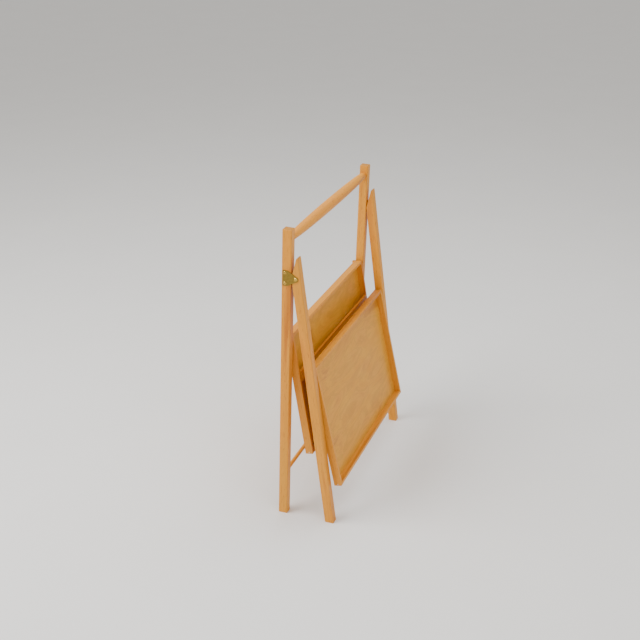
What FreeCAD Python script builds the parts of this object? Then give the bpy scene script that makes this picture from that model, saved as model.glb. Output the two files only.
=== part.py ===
import FreeCAD, Part
import math
import os

V = FreeCAD.Vector

# Folding tray table. X runs along the handle, Y from the tall frame to the short
# frame, Z is up. The origin is on the floor, under the middle of the table.

# Driving dimensions, millimetres and degrees.
WIDTH = 660.0            # over the outer faces of the legs
LEG_X = 25.0             # leg thickness along X
LEG_Y = 27.0             # leg width along Y
TALL_LEG = 900.0         # length of a tall leg
TALL_LEAN = -1.7         # lean of the tall frame; its feet go to -Y
SHORT_LEAN = 7.3         # lean of the short frame; its feet go to +Y
LEG_GAP = 0.8            # gap between the frames when they are folded together
HINGE_UP = 763.0         # hinge height along the tall leg
SHORT_TOP = 58.0         # short leg above its hinge pin
STOP_ANGLE = 21.0        # bevel above the pin that stops the frames opening
EDGE = 2.5               # rounding of the long edges of the legs
TOP_EDGE = 1.9           # rounding round the top of a tall leg

HANDLE_DOWN = 31.0       # handle axis below the top of the tall leg
HANDLE_END_R = 8.0
HANDLE_NECK_R = 9.0      # just outside the legs
HANDLE_MID_R = 16.0
HANDLE_LET_IN = 8.0
STRETCHER_UP = 135.0
STRETCHER_R = 6.0

TRAY_GAP = 3.0           # between a leg and a tray, each side
TRAY_LONG = 380.0
RIM_W = 9.5
RIM_H = 23.0
PLY = 4.5
RIM_EDGE = 1.2           # rounding of the rims at the open face
PIVOT_DOWN = 10.0        # tray pivot below the tray's top edge
UPPER_PIVOT_UP = 571.0   # upper tray pivot, along the tall leg
UPPER_LEAN = 9.2
LOWER_PIVOT_UP = 482.0   # lower tray pivot, along the short leg from its foot
LOWER_LEAN = 12.3
BATTEN_DOWN = 118.0      # below the tray's top edge
BATTEN_W = 30.0
BATTEN_T = 8.0
BATTEN_PROUD = 2.5       # batten in front of the rims

PIVOT_R = 3.0
PIN_R = 2.5
RUNNING = 0.05           # radial clearance of a pin that turns in its hole
PLATE_T = 2.0
PLATE_BACK = 3.0         # screws behind the middle of the tall leg
PLATE_HALF_Y = 7.0
PLATE_HALF_Z = 22.0
PLATE_EYE_R = 7.3
PLATE_NECK = 7.0         # half height of the plate beside its eye
PLATE_NECK_Y = 2.0
PIN_HEAD_R = 5.2
PIN_HEAD_T = 2.6
SCREW_R = 2.0
SCREW_DEEP = 14.0
SCREW_APART = 30.0
SCREW_HEAD_R = 4.6
SCREW_HEAD_T = 2.2
CUT_PAST = 1.0           # how far a cutting tool runs past what it cuts
CORNER_PIN_R = 1.5
CORNER_PIN_LONG = 22.0
CHEEK_LONG = 108.0       # thickening pieces behind the upper tray's side rims
CHEEK_T = 8.0

INNER_X = WIDTH / 2 - LEG_X
TRAY_X = INNER_X - TRAY_GAP
SIDES = (("left", -1), ("right", 1))


def lean(shape, angle, y, z):
    """Turn an upright shape about X so that its foot goes to +Y, about (y, z)."""
    shape = shape.copy()
    shape.rotate(V(0, y, z), V(1, 0, 0), angle)
    return shape


def box(x0, x1, y0, y1, z0, z1):
    return Part.makeBox(x1 - x0, y1 - y0, z1 - z0, V(x0, y0, z0))


def rod(radius, x0, x1, y, z):
    return Part.makeCylinder(radius, x1 - x0, V(x0, y, z), V(1, 0, 0))


def above_floor(shape):
    return shape.common(box(-WIDTH, WIDTH, -WIDTH, WIDTH, 0, 2 * TALL_LEG))


def save(name, shape):
    os.makedirs("parts", exist_ok=True)
    shape.exportStep("parts/" + name + ".step")
    print(name, len(shape.Solids), round(shape.Volume), shape.isValid())


# Places in the side view. Everything is worked out upright from the hinge pin, at
# PIN_Y, PIN_Z, then each frame leans about that pin.
PIN_Z = HINGE_UP * math.cos(math.radians(TALL_LEAN))
SHORT_LONG = PIN_Z / math.cos(math.radians(SHORT_LEAN))
BACK_REACH = ((1.5 * LEG_Y + LEG_GAP) / math.cos(math.radians(TALL_LEAN))
              - PIN_Z * math.tan(math.radians(TALL_LEAN)))
FRONT_REACH = ((SHORT_LONG - LOWER_PIVOT_UP) * math.sin(math.radians(SHORT_LEAN))
               + RIM_H / 2 * math.cos(math.radians(LOWER_LEAN))
               + (TRAY_LONG - PIVOT_DOWN) * math.sin(math.radians(LOWER_LEAN)))
PIN_Y = (BACK_REACH - FRONT_REACH) / 2
TALL_Y = PIN_Y - LEG_Y - LEG_GAP


def in_frame(angle, y, z):
    """Where a point of an upright frame goes when the frame leans about the pin."""
    point = V(0, y - PIN_Y, z - PIN_Z)
    turned = FreeCAD.Rotation(V(1, 0, 0), angle).multVec(point)
    return turned.y + PIN_Y, turned.z + PIN_Z


TALL_TOP = PIN_Z + TALL_LEG - HINGE_UP
TALL_FOOT = PIN_Z - HINGE_UP
HANDLE_Y, HANDLE_Z = in_frame(TALL_LEAN, TALL_Y, TALL_TOP - HANDLE_DOWN)
STRETCHER_Y, STRETCHER_Z = in_frame(TALL_LEAN, TALL_Y, TALL_FOOT + STRETCHER_UP)
UPPER_Y, UPPER_Z = in_frame(TALL_LEAN, TALL_Y, TALL_FOOT + UPPER_PIVOT_UP)
LOWER_Y, LOWER_Z = in_frame(SHORT_LEAN, PIN_Y, PIN_Z - SHORT_LONG + LOWER_PIVOT_UP)


def leg_x(side):
    outer = side * WIDTH / 2
    inner = side * INNER_X
    return min(outer, inner), max(outer, inner)


def long_edges(shape):
    return [e for e in shape.Edges if e.BoundBox.ZLength > 0.9 * shape.BoundBox.ZLength]


def tall_leg(side):
    x0, x1 = leg_x(side)
    leg = box(x0, x1, TALL_Y - LEG_Y / 2, TALL_Y + LEG_Y / 2, TALL_FOOT - LEG_Y, TALL_TOP)
    leg = leg.makeFillet(EDGE, long_edges(leg))
    top = [e for e in leg.Edges if e.BoundBox.ZMin > TALL_TOP - 0.1]
    leg = leg.makeFillet(TOP_EDGE, top)
    leg = above_floor(lean(leg, TALL_LEAN, PIN_Y, PIN_Z))
    reach = INNER_X + HANDLE_LET_IN
    bores = [rod(HANDLE_END_R, -reach, reach, HANDLE_Y, HANDLE_Z), stretcher(),
             pivot_pin(side, UPPER_Y, UPPER_Z)]
    for screw in hinge_screws(side):
        bores.append(screw)
    return leg.cut(Part.makeCompound(bores))


def short_leg(side):
    x0, x1 = leg_x(side)
    back = PIN_Y - LEG_Y / 2
    leg = box(x0, x1, back, back + LEG_Y, PIN_Z - SHORT_LONG - LEG_Y, PIN_Z + SHORT_TOP)
    leg = leg.makeFillet(EDGE, long_edges(leg))
    above = PIN_Z + SHORT_TOP + LEG_Y
    stop_y = back + (SHORT_TOP + LEG_Y) * math.tan(math.radians(STOP_ANGLE))
    start, clear = x0 - CUT_PAST, back - CUT_PAST
    outline = [V(start, clear, PIN_Z), V(start, back, PIN_Z), V(start, stop_y, above), V(start, clear, above)]
    wedge = Part.Face(Part.makePolygon(outline + outline[:1])).extrude(V(LEG_X + 2 * CUT_PAST, 0, 0))
    leg = leg.cut(wedge)
    leg = above_floor(lean(leg, SHORT_LEAN, PIN_Y, PIN_Z))
    pin_x = sorted((side * (WIDTH / 2 + CUT_PAST), side * (WIDTH / 2 - SCREW_DEEP - CUT_PAST)))
    bore = rod(PIN_R + RUNNING, pin_x[0], pin_x[1], PIN_Y, PIN_Z)
    return leg.cut(Part.makeCompound([bore, pivot_pin(side, LOWER_Y, LOWER_Z)]))


def handle():
    """Turned handle, thickest in the middle, with straight tenons let into the legs."""
    ends = INNER_X
    curve = Part.Arc(V(-ends, HANDLE_NECK_R, 0), V(0, HANDLE_MID_R, 0),
                     V(ends, HANDLE_NECK_R, 0)).toShape()
    a, b = V(-ends, 0, 0), V(ends, 0, 0)
    sides = [Part.makeLine(a, V(-ends, HANDLE_NECK_R, 0)), curve,
             Part.makeLine(V(ends, HANDLE_NECK_R, 0), b), Part.makeLine(b, a)]
    grip = Part.Face(Part.Wire(sides)).revolve(V(0, 0, 0), V(1, 0, 0), 360)
    grip.translate(V(0, HANDLE_Y, HANDLE_Z))
    tenons = rod(HANDLE_END_R, -ends - HANDLE_LET_IN, ends + HANDLE_LET_IN, HANDLE_Y, HANDLE_Z)
    return grip.fuse(tenons).removeSplitter()


def stretcher():
    reach = INNER_X + HANDLE_LET_IN
    return rod(STRETCHER_R, -reach, reach, STRETCHER_Y, STRETCHER_Z)


def pivot_pin(side, y, z):
    """Steel pin in a leg, with its end in the tray's side rim."""
    ends = sorted((side * (INNER_X + LEG_X / 2), side * (TRAY_X - RIM_W)))
    return rod(PIVOT_R, ends[0], ends[1], y, z)


def screw_places():
    """The two screws of a hinge plate, one over the other on the tall leg."""
    return [in_frame(TALL_LEAN, TALL_Y - PLATE_BACK, PIN_Z + up)
            for up in (SCREW_APART / 2, -SCREW_APART / 2)]


def hinge_screws(side):
    """Domed wood screws through the hinge plate."""
    solids = []
    for y, z in screw_places():
        outer = side * (WIDTH / 2 + PLATE_T)
        ends = sorted((outer, side * (WIDTH / 2 - SCREW_DEEP)))
        head = dome(side, outer, SCREW_HEAD_R, SCREW_HEAD_T, y, z)
        solids.append(rod(SCREW_R, ends[0], ends[1], y, z).fuse(head))
    return solids


def dome(side, x, radius, height, y, z):
    """A shallow domed head that stands on the plane at x."""
    ball = (radius * radius + height * height) / (2 * height)
    whole = Part.makeSphere(ball, V(x - side * (ball - height), y, z))
    keep = sorted((x, x + side * height * 2))
    return whole.common(box(keep[0], keep[1], y - ball, y + ball, z - ball, z + ball))


def hinge_plate(side):
    """Brass plate, wide on the tall leg and narrowing to a round eye at the pin."""
    middle, tip = TALL_Y - PLATE_BACK, PIN_Y + PLATE_NECK_Y
    lower = [(middle - PLATE_HALF_Y, PLATE_HALF_Z), (middle + PLATE_HALF_Y, PLATE_HALF_Z), (tip, PLATE_NECK)]
    outline = [V(0, y, PIN_Z - half) for y, half in lower]
    outline += [V(0, y, PIN_Z + half) for y, half in reversed(lower)]
    plate = Part.Face(Part.makePolygon(outline + outline[:1])).extrude(V(side * PLATE_T, 0, 0))
    plate.translate(V(side * WIDTH / 2, 0, 0))
    plate = lean(plate, TALL_LEAN, PIN_Y, PIN_Z)
    ends = sorted((side * WIDTH / 2, side * (WIDTH / 2 + PLATE_T)))
    plate = plate.fuse(rod(PLATE_EYE_R, ends[0], ends[1], PIN_Y, PIN_Z)).removeSplitter()
    holes = [rod(SCREW_R, ends[0], ends[1], py, pz) for py, pz in screw_places()]
    holes.append(rod(PIN_R, ends[0], ends[1], PIN_Y, PIN_Z))
    return plate.cut(Part.makeCompound(holes))


def hinge_pin(side):
    outer = side * (WIDTH / 2 + PLATE_T)
    ends = sorted((outer, side * (WIDTH / 2 - SCREW_DEEP)))
    head = dome(side, outer, PIN_HEAD_R, PIN_HEAD_T, PIN_Y, PIN_Z)
    return rod(PIN_R, ends[0], ends[1], PIN_Y, PIN_Z).fuse(head)


def tray(y, z, angle):
    """The pieces of a tray that hangs from a pivot at (y, z), leaning by angle."""
    top = z + PIVOT_DOWN
    foot = top - TRAY_LONG
    back = y - RIM_H / 2
    face = back + RIM_H
    inside = TRAY_X - RIM_W
    pieces = {
        "base": box(-inside, inside, back, back + PLY, foot + RIM_W, top - RIM_W),
        "top_rim": box(-inside, inside, back, face, top - RIM_W, top),
        "bottom_rim": box(-inside, inside, back, face, foot, foot + RIM_W),
    }
    for name, side in SIDES:
        ends = sorted((side * inside, side * TRAY_X))
        rim = box(ends[0], ends[1], back, face, foot, top)
        pieces[name + "_rim"] = rim.cut(rod(PIVOT_R + RUNNING, ends[0], ends[1], y, z))
    for name in ("top_rim", "bottom_rim", "left_rim", "right_rim"):
        rim = pieces[name]
        edges = [e for e in rim.Edges if e.BoundBox.YMin > face - 0.01]
        pieces[name] = rim.makeFillet(RIM_EDGE, edges)
    pins = []
    for name, side in SIDES:
        for level in (top - RIM_W / 2, foot + RIM_W / 2):
            ends = sorted((side * TRAY_X, side * (TRAY_X - CORNER_PIN_LONG)))
            pins.append(rod(CORNER_PIN_R, ends[0], ends[1], y, level))
    group = Part.makeCompound(pins)
    for name in ("top_rim", "bottom_rim", "left_rim", "right_rim"):
        pieces[name] = pieces[name].cut(group)
    pieces["corner_pins"] = group
    return {name: lean(piece, angle, y, z) for name, piece in pieces.items()}


def batten():
    """Batten across the upper tray, between its side rims at the open face."""
    face = UPPER_Y + RIM_H / 2 + BATTEN_PROUD
    top = UPPER_Z + PIVOT_DOWN - BATTEN_DOWN
    inside = TRAY_X - RIM_W
    piece = box(-inside, inside, face - BATTEN_T, face, top - BATTEN_W, top)
    return lean(piece, UPPER_LEAN, UPPER_Y, UPPER_Z)


def cheek(side):
    """Piece behind the top of an upper tray's side rim, which makes it deeper there."""
    back = UPPER_Y - RIM_H / 2
    top = UPPER_Z + PIVOT_DOWN
    ends = sorted((side * (TRAY_X - RIM_W), side * TRAY_X))
    piece = box(ends[0], ends[1], back - CHEEK_T, back, top - CHEEK_LONG, top)
    return lean(piece, UPPER_LEAN, UPPER_Y, UPPER_Z)


for side_name, side in SIDES:
    save("upper_tray_cheek_" + side_name, cheek(side))
    save("tall_leg_" + side_name, tall_leg(side))
    save("short_leg_" + side_name, short_leg(side))
    save("hinge_plate_" + side_name, hinge_plate(side))
    save("hinge_pin_" + side_name, hinge_pin(side))
    save("hinge_screws_" + side_name, Part.makeCompound(hinge_screws(side)))
    save("upper_tray_pivot_" + side_name, pivot_pin(side, UPPER_Y, UPPER_Z))
    save("lower_tray_pivot_" + side_name, pivot_pin(side, LOWER_Y, LOWER_Z))
save("handle", handle())
save("stretcher", stretcher())
for name, piece in tray(UPPER_Y, UPPER_Z, UPPER_LEAN).items():
    save("upper_tray_" + name, piece)
save("upper_tray_batten", batten())
for name, piece in tray(LOWER_Y, LOWER_Z, LOWER_LEAN).items():
    save("lower_tray_" + name, piece)
for label, y, z in (("pin", PIN_Y, PIN_Z), ("upper", UPPER_Y, UPPER_Z), ("lower", LOWER_Y, LOWER_Z)):
    print(label, round(y, 3), round(z, 3))
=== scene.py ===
"""Folding tray table: two wooden leg frames, a turned handle, two trays and brass hinges."""
import math

import bmesh
import bpy
from mathutils import Matrix, Vector


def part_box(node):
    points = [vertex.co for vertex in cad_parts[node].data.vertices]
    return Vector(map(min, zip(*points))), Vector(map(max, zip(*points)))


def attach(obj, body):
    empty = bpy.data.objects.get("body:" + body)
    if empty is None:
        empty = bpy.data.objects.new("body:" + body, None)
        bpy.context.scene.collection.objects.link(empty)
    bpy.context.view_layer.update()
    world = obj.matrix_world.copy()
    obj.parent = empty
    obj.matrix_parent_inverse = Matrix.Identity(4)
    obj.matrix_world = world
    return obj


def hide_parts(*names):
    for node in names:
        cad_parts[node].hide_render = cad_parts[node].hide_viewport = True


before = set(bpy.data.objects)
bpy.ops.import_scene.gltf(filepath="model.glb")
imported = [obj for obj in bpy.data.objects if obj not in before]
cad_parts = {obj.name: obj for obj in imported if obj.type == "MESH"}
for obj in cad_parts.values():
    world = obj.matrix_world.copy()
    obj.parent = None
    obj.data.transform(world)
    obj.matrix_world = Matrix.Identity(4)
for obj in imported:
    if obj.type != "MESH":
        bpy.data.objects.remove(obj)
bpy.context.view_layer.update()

bl_info = {
    "name": "Folding tray table",
    "version": (1, 0, 0),
    "blender": (4, 5, 0),
    "location": "View3D > Sidebar > Tray Table",
    "description": "Finishes for a folding wooden tray table, with its screws and handle",
    "category": "Object",
}

SIDES = {"left": -1, "right": 1}
TALL_LEAN, SHORT_LEAN = -1.7, 7.3
UPPER_LEAN, LOWER_LEAN = 9.2, 12.3
PLATE_THICK = 0.002
LATHE_STEPS = 64
MM = 0.001


class TrayTableFinish(bpy.types.PropertyGroup):
    """Colours of the wood and the metal."""

    beech: bpy.props.FloatVectorProperty(
        name="Leg wood", description="Pale colour of the solid wood",
        subtype="COLOR", min=0, max=1, default=(0.69, 0.285, 0.016))
    beech_dark: bpy.props.FloatVectorProperty(
        name="Leg grain", description="Darker colour of the growth rings",
        subtype="COLOR", min=0, max=1, default=(0.50, 0.165, 0.005))
    birch: bpy.props.FloatVectorProperty(
        name="Plywood", description="Pale colour of the tray bottoms",
        subtype="COLOR", min=0, max=1, default=(0.68, 0.30, 0.012))
    birch_dark: bpy.props.FloatVectorProperty(
        name="Plywood figure", description="Darker colour of the veneer's figure",
        subtype="COLOR", min=0, max=1, default=(0.50, 0.185, 0.004))
    brass: bpy.props.FloatVectorProperty(
        name="Brass", description="Colour of the hinge plates",
        subtype="COLOR", min=0, max=1, default=(0.30, 0.19, 0.035))
    lacquer: bpy.props.FloatProperty(
        name="Lacquer", description="Weight of the clear coat on the wood",
        min=0, max=1, default=0.08)


class TrayTableSizes(bpy.types.PropertyGroup):
    """Sizes of the pieces that are shaped here."""

    handle_neck: bpy.props.FloatProperty(
        name="Handle neck", description="Radius of the handle where it meets the legs",
        unit="LENGTH", default=0.0085)
    screw_head: bpy.props.FloatProperty(
        name="Screw head", description="Radius of a hinge screw's head",
        unit="LENGTH", default=0.0046)
    screw_rise: bpy.props.FloatProperty(
        name="Screw rise", description="Height of a hinge screw's head",
        unit="LENGTH", default=0.0022)
    slot_width: bpy.props.FloatProperty(
        name="Slot width", description="Width of the driver slot",
        unit="LENGTH", default=0.0011)


class TrayTableStage(bpy.types.PropertyGroup):
    """Floor, camera and lights."""

    floor: bpy.props.FloatVectorProperty(
        name="Floor", description="Colour of the floor",
        subtype="COLOR", min=0, max=1, default=(0.80, 0.79, 0.77))
    lens: bpy.props.FloatProperty(
        name="Lens", description="Focal length of the camera in millimetres", default=57.4)
    place: bpy.props.FloatVectorProperty(
        name="Camera place", description="Where the camera stands",
        subtype="TRANSLATION", default=(2.661, 0.922, 1.811))
    azimuth: bpy.props.FloatProperty(
        name="Azimuth", description="Heading of the camera in degrees", default=110.77)
    elevation: bpy.props.FloatProperty(
        name="Elevation", description="How far the camera looks down, in degrees", default=24.87)


def new_material(name):
    """An empty node material with its shader and its object coordinates."""
    material = bpy.data.materials.new(name)
    material.use_nodes = True
    nodes = material.node_tree.nodes
    shader = nodes["Principled BSDF"]
    place = nodes.new("ShaderNodeTexCoord")
    return material, nodes, material.node_tree.links, shader, place


def mapped(nodes, links, source, turn, scale):
    """A coordinate turned about X by the piece's lean, then stretched."""
    upright = nodes.new("ShaderNodeMapping")
    upright.inputs["Rotation"].default_value = (-math.radians(turn), 0, 0)
    links.new(source, upright.inputs["Vector"])
    stretch = nodes.new("ShaderNodeMapping")
    stretch.inputs["Scale"].default_value = scale
    links.new(upright.outputs["Vector"], stretch.inputs["Vector"])
    return stretch.outputs["Vector"]


def noise(nodes, links, vector, scale, detail=4.0, roughness=0.55, distortion=0.0):
    texture = nodes.new("ShaderNodeTexNoise")
    texture.inputs["Scale"].default_value = scale
    texture.inputs["Detail"].default_value = detail
    texture.inputs["Roughness"].default_value = roughness
    texture.inputs["Distortion"].default_value = distortion
    links.new(vector, texture.inputs["Vector"])
    return texture.outputs["Fac"]


def ramp(nodes, links, value, stops):
    """A colour ramp from (position, colour) pairs."""
    made = nodes.new("ShaderNodeValToRGB")
    elements = made.color_ramp.elements
    while len(elements) < len(stops):
        elements.new(0.5)
    for element, (position, colour) in zip(elements, stops):
        element.position = position
        element.color = (*colour, 1.0)
    links.new(value, made.inputs["Fac"])
    return made.outputs["Color"]


def mix(nodes, links, kind, factor, first, second):
    """Mix two colours; the factor is a number or an output."""
    made = nodes.new("ShaderNodeMix")
    made.data_type = "RGBA"
    made.blend_type = kind
    made.inputs["Factor"].default_value = factor if isinstance(factor, float) else 1.0
    if not isinstance(factor, float):
        links.new(factor, made.inputs["Factor"])
    links.new(first, made.inputs["A"])
    links.new(second, made.inputs["B"])
    return made.outputs["Result"]


def grey(level):
    return (level, level, level)


def stretch_along(axis, along, across):
    return tuple(along if name == axis else across for name in "XYZ")


def solid_wood(name, axis, turn, light, dark, lacquer, shift=0.0):
    """Straight-grained beech: rings, fine fibres, short flecks, end grain and a satin coat."""
    material, nodes, links, shader, place = new_material(name)
    source = place.outputs["Object"]
    rings = mapped(nodes, links, source, turn, stretch_along(axis, 0.9, 16.0))
    ring_field = noise(nodes, links, rings, 1.6 + shift, 3.0, 0.5, 0.6)
    colour = ramp(nodes, links, ring_field,
                  [(0.30, dark), (0.48, light), (0.58, [0.92 * c for c in light]), (0.75, light)])
    fibres = mapped(nodes, links, source, turn, stretch_along(axis, 6.0, 420.0))
    fibre_field = noise(nodes, links, fibres, 1.0, 3.0, 0.7)
    fibre_shade = ramp(nodes, links, fibre_field, [(0.25, grey(0.80)), (0.60, grey(1.0))])
    colour = mix(nodes, links, "MULTIPLY", 0.6, colour, fibre_shade)
    flecks = mapped(nodes, links, source, turn, stretch_along(axis, 60.0, 520.0))
    fleck_field = noise(nodes, links, flecks, 1.0, 1.0, 0.4)
    fleck_shade = ramp(nodes, links, fleck_field, [(0.30, (0.58, 0.40, 0.26)), (0.37, grey(1.0))])
    colour = mix(nodes, links, "MULTIPLY", 0.55, colour, fleck_shade)
    patches = mapped(nodes, links, source, turn, stretch_along(axis, 2.0, 5.0))
    patch_field = noise(nodes, links, patches, 1.3 + shift, 2.0)
    patch_shade = ramp(nodes, links, patch_field, [(0.3, (1.0, 0.86, 0.74)), (0.65, grey(1.0))])
    colour = mix(nodes, links, "MULTIPLY", 0.7, colour, patch_shade)
    facing = nodes.new("ShaderNodeVectorMath")
    facing.operation = "DOT_PRODUCT"
    facing.inputs[1].default_value = grain_direction(axis, turn)
    links.new(place.outputs["Normal"], facing.inputs[0])
    size = nodes.new("ShaderNodeMath")
    size.operation = "ABSOLUTE"
    links.new(facing.outputs["Value"], size.inputs[0])
    end = nodes.new("ShaderNodeMapRange")
    end.inputs["From Min"].default_value, end.inputs["From Max"].default_value = 0.75, 0.95
    links.new(size.outputs["Value"], end.inputs["Value"])
    pores = noise(nodes, links, source, 900.0, 2.0)
    end_colour = ramp(nodes, links, pores,
                      [(0.35, [0.55 * c for c in dark]), (0.6, [0.8 * c for c in light])])
    colour = mix(nodes, links, "MIX", end.outputs["Result"], colour, end_colour)
    links.new(colour, shader.inputs["Base Color"])
    finish_wood(nodes, links, shader, fibre_field, ring_field, lacquer)
    return material


def grain_direction(axis, turn):
    if axis == "X":
        return (1.0, 0.0, 0.0)
    return (0.0, -math.sin(math.radians(turn)), math.cos(math.radians(turn)))


def finish_wood(nodes, links, shader, fibre_field, ring_field, lacquer):
    """Uneven satin roughness, and a fine bump along the fibres."""
    rough = nodes.new("ShaderNodeMapRange")
    rough.inputs["To Min"].default_value, rough.inputs["To Max"].default_value = 0.40, 0.60
    links.new(ring_field, rough.inputs["Value"])
    links.new(rough.outputs["Result"], shader.inputs["Roughness"])
    shader.inputs["Specular IOR Level"].default_value = 0.28
    shader.inputs["Coat Weight"].default_value = lacquer
    shader.inputs["Coat Roughness"].default_value = 0.28
    bump = nodes.new("ShaderNodeBump")
    bump.inputs["Strength"].default_value = 0.12
    bump.inputs["Distance"].default_value = 0.0004
    links.new(fibre_field, bump.inputs["Height"])
    links.new(bump.outputs["Normal"], shader.inputs["Normal"])


def plywood(name, turn, light, dark, lacquer, shift=0.0):
    """Rotary-cut birch veneer: broad wavy figure along X, mottled, with fine fibres."""
    material, nodes, links, shader, place = new_material(name)
    source = place.outputs["Object"]
    broad = mapped(nodes, links, source, turn, (2.2, 8.0, 8.5))
    figure = noise(nodes, links, broad, 1.4 + shift, 5.0, 0.6, 1.6)
    colour = ramp(nodes, links, figure, [(0.32, dark), (0.46, light), (0.52, [0.86 * c for c in light]),
                                         (0.58, light), (0.74, [0.9 * c for c in light])])
    mottle = noise(nodes, links, mapped(nodes, links, source, turn, (14.0, 20.0, 24.0)), 1.0, 4.0, 0.6)
    shade = ramp(nodes, links, mottle, [(0.30, (0.92, 0.80, 0.66)), (0.62, grey(1.0))])
    colour = mix(nodes, links, "MULTIPLY", 0.75, colour, shade)
    fibre_field = noise(nodes, links, mapped(nodes, links, source, turn, (8.0, 300.0, 420.0)), 1.0, 3.0, 0.7)
    fibre_shade = ramp(nodes, links, fibre_field, [(0.25, grey(0.84)), (0.60, grey(1.0))])
    colour = mix(nodes, links, "MULTIPLY", 0.6, colour, fibre_shade)
    links.new(colour, shader.inputs["Base Color"])
    finish_wood(nodes, links, shader, fibre_field, figure, lacquer)
    return material


def metal(name, colour, low, high, tarnish):
    """Worn metal: cloudy tarnish, uneven polish and fine scratches."""
    material, nodes, links, shader, place = new_material(name)
    source = place.outputs["Object"]
    cloud = noise(nodes, links, source, 160.0, 5.0, 0.6)
    shade = ramp(nodes, links, cloud, [(0.3, [tarnish * c for c in colour]), (0.62, colour)])
    links.new(shade, shader.inputs["Base Color"])
    shader.inputs["Metallic"].default_value = 1.0
    rough = nodes.new("ShaderNodeMapRange")
    rough.inputs["To Min"].default_value, rough.inputs["To Max"].default_value = low, high
    links.new(cloud, rough.inputs["Value"])
    links.new(rough.outputs["Result"], shader.inputs["Roughness"])
    scratches = noise(nodes, links, mapped(nodes, links, source, 20.0, (900, 200, 3000)), 1.0, 2.0)
    bump = nodes.new("ShaderNodeBump")
    bump.inputs["Strength"].default_value = 0.1
    bump.inputs["Distance"].default_value = 0.0002
    links.new(scratches, bump.inputs["Height"])
    links.new(bump.outputs["Normal"], shader.inputs["Normal"])
    return material


def matte_floor(colour):
    material, nodes, links, shader, place = new_material("pale_floor")
    cloud = noise(nodes, links, place.outputs["Object"], 3.0)
    shade = ramp(nodes, links, cloud, [(0.3, [0.98 * c for c in colour]), (0.7, colour)])
    links.new(shade, shader.inputs["Base Color"])
    shader.inputs["Roughness"].default_value = 0.75
    return material


def dress(names, material):
    """Give CAD nodes a material."""
    for name in names:
        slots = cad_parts[name].data.materials
        slots.clear()
        slots.append(material)


def finish_piece(name, shape, material, body, replaced):
    """Turn a bmesh into a smooth piece that rides a body in place of a CAD node."""
    bmesh.ops.remove_doubles(shape, verts=shape.verts, dist=1e-6)
    bmesh.ops.recalc_face_normals(shape, faces=shape.faces)
    mesh = bpy.data.meshes.new(name)
    shape.to_mesh(mesh)
    shape.free()
    mesh.shade_smooth()
    mesh.set_sharp_from_angle(angle=math.radians(32))
    mesh.materials.append(material)
    piece = bpy.data.objects.new(name, mesh)
    bpy.context.scene.collection.objects.link(piece)
    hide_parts(replaced)
    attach(piece, body)
    return piece


def lathe(shape, profile):
    """Spin a profile of (along X, radius) points about X into a closed solid."""
    points = [shape.verts.new((x, 0, radius)) for x, radius in profile]
    edges = [shape.edges.new(pair) for pair in zip(points, points[1:])]
    bmesh.ops.spin(shape, geom=points + edges, cent=(0, 0, 0), axis=(1, 0, 0),
                   angle=math.tau, steps=LATHE_STEPS, use_merge=True)
    bmesh.ops.remove_doubles(shape, verts=shape.verts, dist=1e-7)


def slotted_head(radius, rise, width, depth, side):
    """A domed screw head on the plane x = 0 with a driver slot across it."""
    shape = bmesh.new()
    curve = [(side * rise * math.sin(t * math.pi / 24), radius * math.cos(t * math.pi / 24))
             for t in range(12)]
    lathe(shape, [(0, 0), *curve, (side * rise, 0)])
    bmesh.ops.recalc_face_normals(shape, faces=shape.faces)
    for edge in (-width / 2, width / 2):
        bmesh.ops.bisect_plane(shape, geom=shape.verts[:] + shape.edges[:] + shape.faces[:],
                               plane_co=(0, edge, 0), plane_no=(0, 1, 0), dist=1e-7)
    strip = [face for face in shape.faces
             if abs(face.calc_center_median().y) < width / 2 and abs(face.calc_center_median().x) > 1e-5]
    made = bmesh.ops.extrude_face_region(shape, geom=strip)["geom"]
    moved = [item for item in made if isinstance(item, bmesh.types.BMVert)]
    bmesh.ops.delete(shape, geom=strip, context="FACES_ONLY")
    for vert in moved:
        vert.co.x = side * max(side * vert.co.x - depth, 0.0002)
    return shape


class TRAYTABLE_OT_legs(bpy.types.Operator):
    """Finish the four legs in straight-grained wood"""

    bl_idname = "traytable.legs"
    bl_label = "Finish legs"

    def execute(self, context):
        finish = context.scene.tray_table_finish
        for kind, turn in (("tall", TALL_LEAN), ("short", SHORT_LEAN)):
            for shift, side in enumerate(SIDES):
                material = solid_wood(f"{kind}_leg_wood_{side}", "Z", turn, finish.beech,
                                      finish.beech_dark, finish.lacquer, 0.37 * shift)
                dress([f"{kind}_leg_{side}"], material)
        return {"FINISHED"}


class TRAYTABLE_OT_handle(bpy.types.Operator):
    """Turn the handle and finish the stretcher"""

    bl_idname = "traytable.handle"
    bl_label = "Turn handle"

    def execute(self, context):
        finish, sizes = context.scene.tray_table_finish, context.scene.tray_table_sizes
        low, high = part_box("handle")
        centre, reach = (low + high) / 2, (high.x - low.x) / 2
        middle = (high.z - low.z) / 2
        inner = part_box("tall_leg_right")[0].x
        neck = sizes.handle_neck
        bead = 3 * MM
        steps = 24
        reach_in = inner - bead
        belly = [(reach_in * math.sin(math.pi * (t - 0.5)), neck + (middle - neck) * math.sin(math.pi * t))
                 for t in (i / steps for i in range(1, steps))]
        shape = bmesh.new()
        tenon = neck - 0.6 * MM
        lathe(shape, [(-reach, 0), (-reach, tenon), (-inner, tenon), (-inner, neck), *belly,
                      (inner, neck), (inner, tenon), (reach, tenon), (reach, 0)])
        bmesh.ops.translate(shape, verts=shape.verts, vec=centre)
        wood = solid_wood("turned_wood", "X", 0, [min(1.0, 1.08 * c) for c in finish.beech],
                          finish.beech_dark, finish.lacquer, 0.2)
        finish_piece("turned_handle", shape, wood, "tall_frame", "handle")
        dress(["stretcher"], wood)
        return {"FINISHED"}


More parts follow.
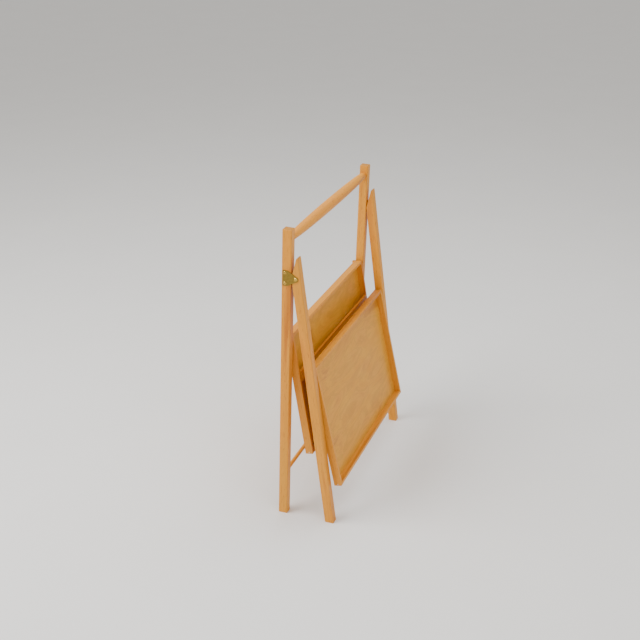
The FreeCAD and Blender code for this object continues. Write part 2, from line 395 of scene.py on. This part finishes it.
class TRAYTABLE_OT_hinges(bpy.types.Operator):
    """Finish the hinge plates and pins in brass and cut the screws' slots"""

    bl_idname = "traytable.hinges"
    bl_label = "Make hinges"

    def execute(self, context):
        finish, sizes = context.scene.tray_table_finish, context.scene.tray_table_sizes
        plate = metal("hinge_brass", finish.brass, 0.26, 0.48, 0.72)
        bright = metal("screw_brass", [min(1.0, 2.0 * c) for c in finish.brass], 0.16, 0.34, 0.8)
        for name, side in SIDES.items():
            dress([f"hinge_plate_{name}"], plate)
            dress([f"hinge_pin_{name}"], bright)
            low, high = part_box(f"hinge_screws_{name}")
            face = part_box(f"hinge_plate_{name}")[1 if side > 0 else 0].x
            head = sizes.screw_head
            lean = math.tan(math.radians(TALL_LEAN))
            heads = bmesh.new()
            for z, turn in ((high.z - head, 35), (low.z + head, -20)):
                middle = (low.y + high.y) / 2
                y = middle - (z - (low.z + high.z) / 2) * lean
                one = slotted_head(head, sizes.screw_rise, sizes.slot_width, 0.6 * sizes.screw_rise, side)
                place = Matrix.Translation((face, y, z)) @ Matrix.Rotation(math.radians(turn), 4, "X")
                bmesh.ops.transform(one, verts=one.verts, matrix=place)
                mesh = bpy.data.meshes.new("slotted_head")
                one.to_mesh(mesh)
                one.free()
                heads.from_mesh(mesh)
                bpy.data.meshes.remove(mesh)
            finish_piece(f"slotted_screws_{name}", heads, bright, "tall_frame",
                         f"hinge_screws_{name}")
        return {"FINISHED"}


class TRAYTABLE_OT_trays(bpy.types.Operator):
    """Finish the rims, the plywood bottoms, the batten and the pins of both trays"""

    bl_idname = "traytable.trays"
    bl_label = "Finish trays"

    def execute(self, context):
        finish = context.scene.tray_table_finish
        steel = metal("pin_steel", (0.55, 0.54, 0.52), 0.25, 0.45, 0.8)
        for shift, (tray, turn) in enumerate((("upper", UPPER_LEAN), ("lower", LOWER_LEAN))):
            sheet = plywood(f"{tray}_plywood", turn, finish.birch, finish.birch_dark,
                            finish.lacquer, 0.3 * shift)
            sides = solid_wood(f"{tray}_side_rim_wood", "Z", turn, finish.beech, finish.beech_dark,
                               finish.lacquer, 0.5 + 0.2 * shift)
            cross = solid_wood(f"{tray}_cross_rim_wood", "X", turn, finish.beech, finish.beech_dark,
                               finish.lacquer, 0.3 + 0.2 * shift)
            dress([f"{tray}_tray_base"], sheet)
            dress([f"{tray}_tray_left_rim", f"{tray}_tray_right_rim"], sides)
            dress([f"{tray}_tray_top_rim", f"{tray}_tray_bottom_rim"], cross)
            if tray == "upper":
                dress(["upper_tray_batten"], cross)
                dress([f"upper_tray_cheek_{side}" for side in SIDES], sides)
            dress([f"{tray}_tray_corner_pins"], steel)
            dress([f"{tray}_tray_pivot_{side}" for side in SIDES], steel)
        return {"FINISHED"}


class TRAYTABLE_OT_stage(bpy.types.Operator):
    """Make the floor, the soft lights and the camera"""

    bl_idname = "traytable.stage"
    bl_label = "Make stage"

    def execute(self, context):
        stage = context.scene.tray_table_stage
        shape = bmesh.new()
        bmesh.ops.create_grid(shape, x_segments=4, y_segments=4, size=14)
        mesh = bpy.data.meshes.new("floor")
        shape.to_mesh(mesh)
        shape.free()
        mesh.materials.append(matte_floor(stage.floor))
        floor = bpy.data.objects.new("floor", mesh)
        context.scene.collection.objects.link(floor)
        middle = Vector((0, 0, 0.45))
        lights = (("key", (1.6, -2.0, 2.8), 2.2, 130.0), ("fill", (2.2, 2.6, 1.9), 2.6, 40.0),
                  ("top", (-0.6, 0.4, 3.2), 2.4, 50.0))
        for name, place, size, power in lights:
            lamp = bpy.data.lights.new(name, "AREA")
            lamp.energy, lamp.size = power, size
            holder = bpy.data.objects.new(name, lamp)
            holder.location = place
            holder.rotation_euler = (Vector(place) - middle).to_track_quat("Z", "Y").to_euler()
            context.scene.collection.objects.link(holder)
        world = bpy.data.worlds.new("studio")
        world.use_nodes = True
        world.node_tree.nodes["Background"].inputs["Color"].default_value = (1.0, 0.98, 0.95, 1)
        world.node_tree.nodes["Background"].inputs["Strength"].default_value = 0.75
        context.scene.world = world
        camera = bpy.data.objects.new("camera", bpy.data.cameras.new("camera"))
        camera.data.lens = stage.lens
        camera.location = stage.place
        camera.rotation_euler = (math.radians(90 - stage.elevation), 0, math.radians(stage.azimuth))
        context.scene.collection.objects.link(camera)
        context.scene.camera = camera
        return {"FINISHED"}


OPERATORS = (TRAYTABLE_OT_legs, TRAYTABLE_OT_handle, TRAYTABLE_OT_hinges, TRAYTABLE_OT_trays,
             TRAYTABLE_OT_stage)
GROUPS = {"tray_table_finish": TrayTableFinish, "tray_table_sizes": TrayTableSizes,
          "tray_table_stage": TrayTableStage}


class TRAYTABLE_PT_panel(bpy.types.Panel):
    """The table's operators and values"""

    bl_idname = "TRAYTABLE_PT_panel"
    bl_label = "Tray Table"
    bl_space_type = "VIEW_3D"
    bl_region_type = "UI"
    bl_category = "Tray Table"

    def draw(self, context):
        for operator in OPERATORS:
            self.layout.operator(operator.bl_idname)
        for name, group in GROUPS.items():
            for value in group.__annotations__:
                self.layout.prop(getattr(context.scene, name), value)


def register():
    for group in GROUPS.values():
        bpy.utils.register_class(group)
    for name, group in GROUPS.items():
        setattr(bpy.types.Scene, name, bpy.props.PointerProperty(type=group))
    for made in (*OPERATORS, TRAYTABLE_PT_panel):
        bpy.utils.register_class(made)


def unregister():
    for made in (TRAYTABLE_PT_panel, *reversed(OPERATORS)):
        bpy.utils.unregister_class(made)
    for name, group in GROUPS.items():
        delattr(bpy.types.Scene, name)
        bpy.utils.unregister_class(group)


def main():
    register()
    bpy.ops.traytable.legs()
    bpy.ops.traytable.handle()
    bpy.ops.traytable.hinges()
    bpy.ops.traytable.trays()
    bpy.ops.traytable.stage()


if __name__ == "__main__":
    main()
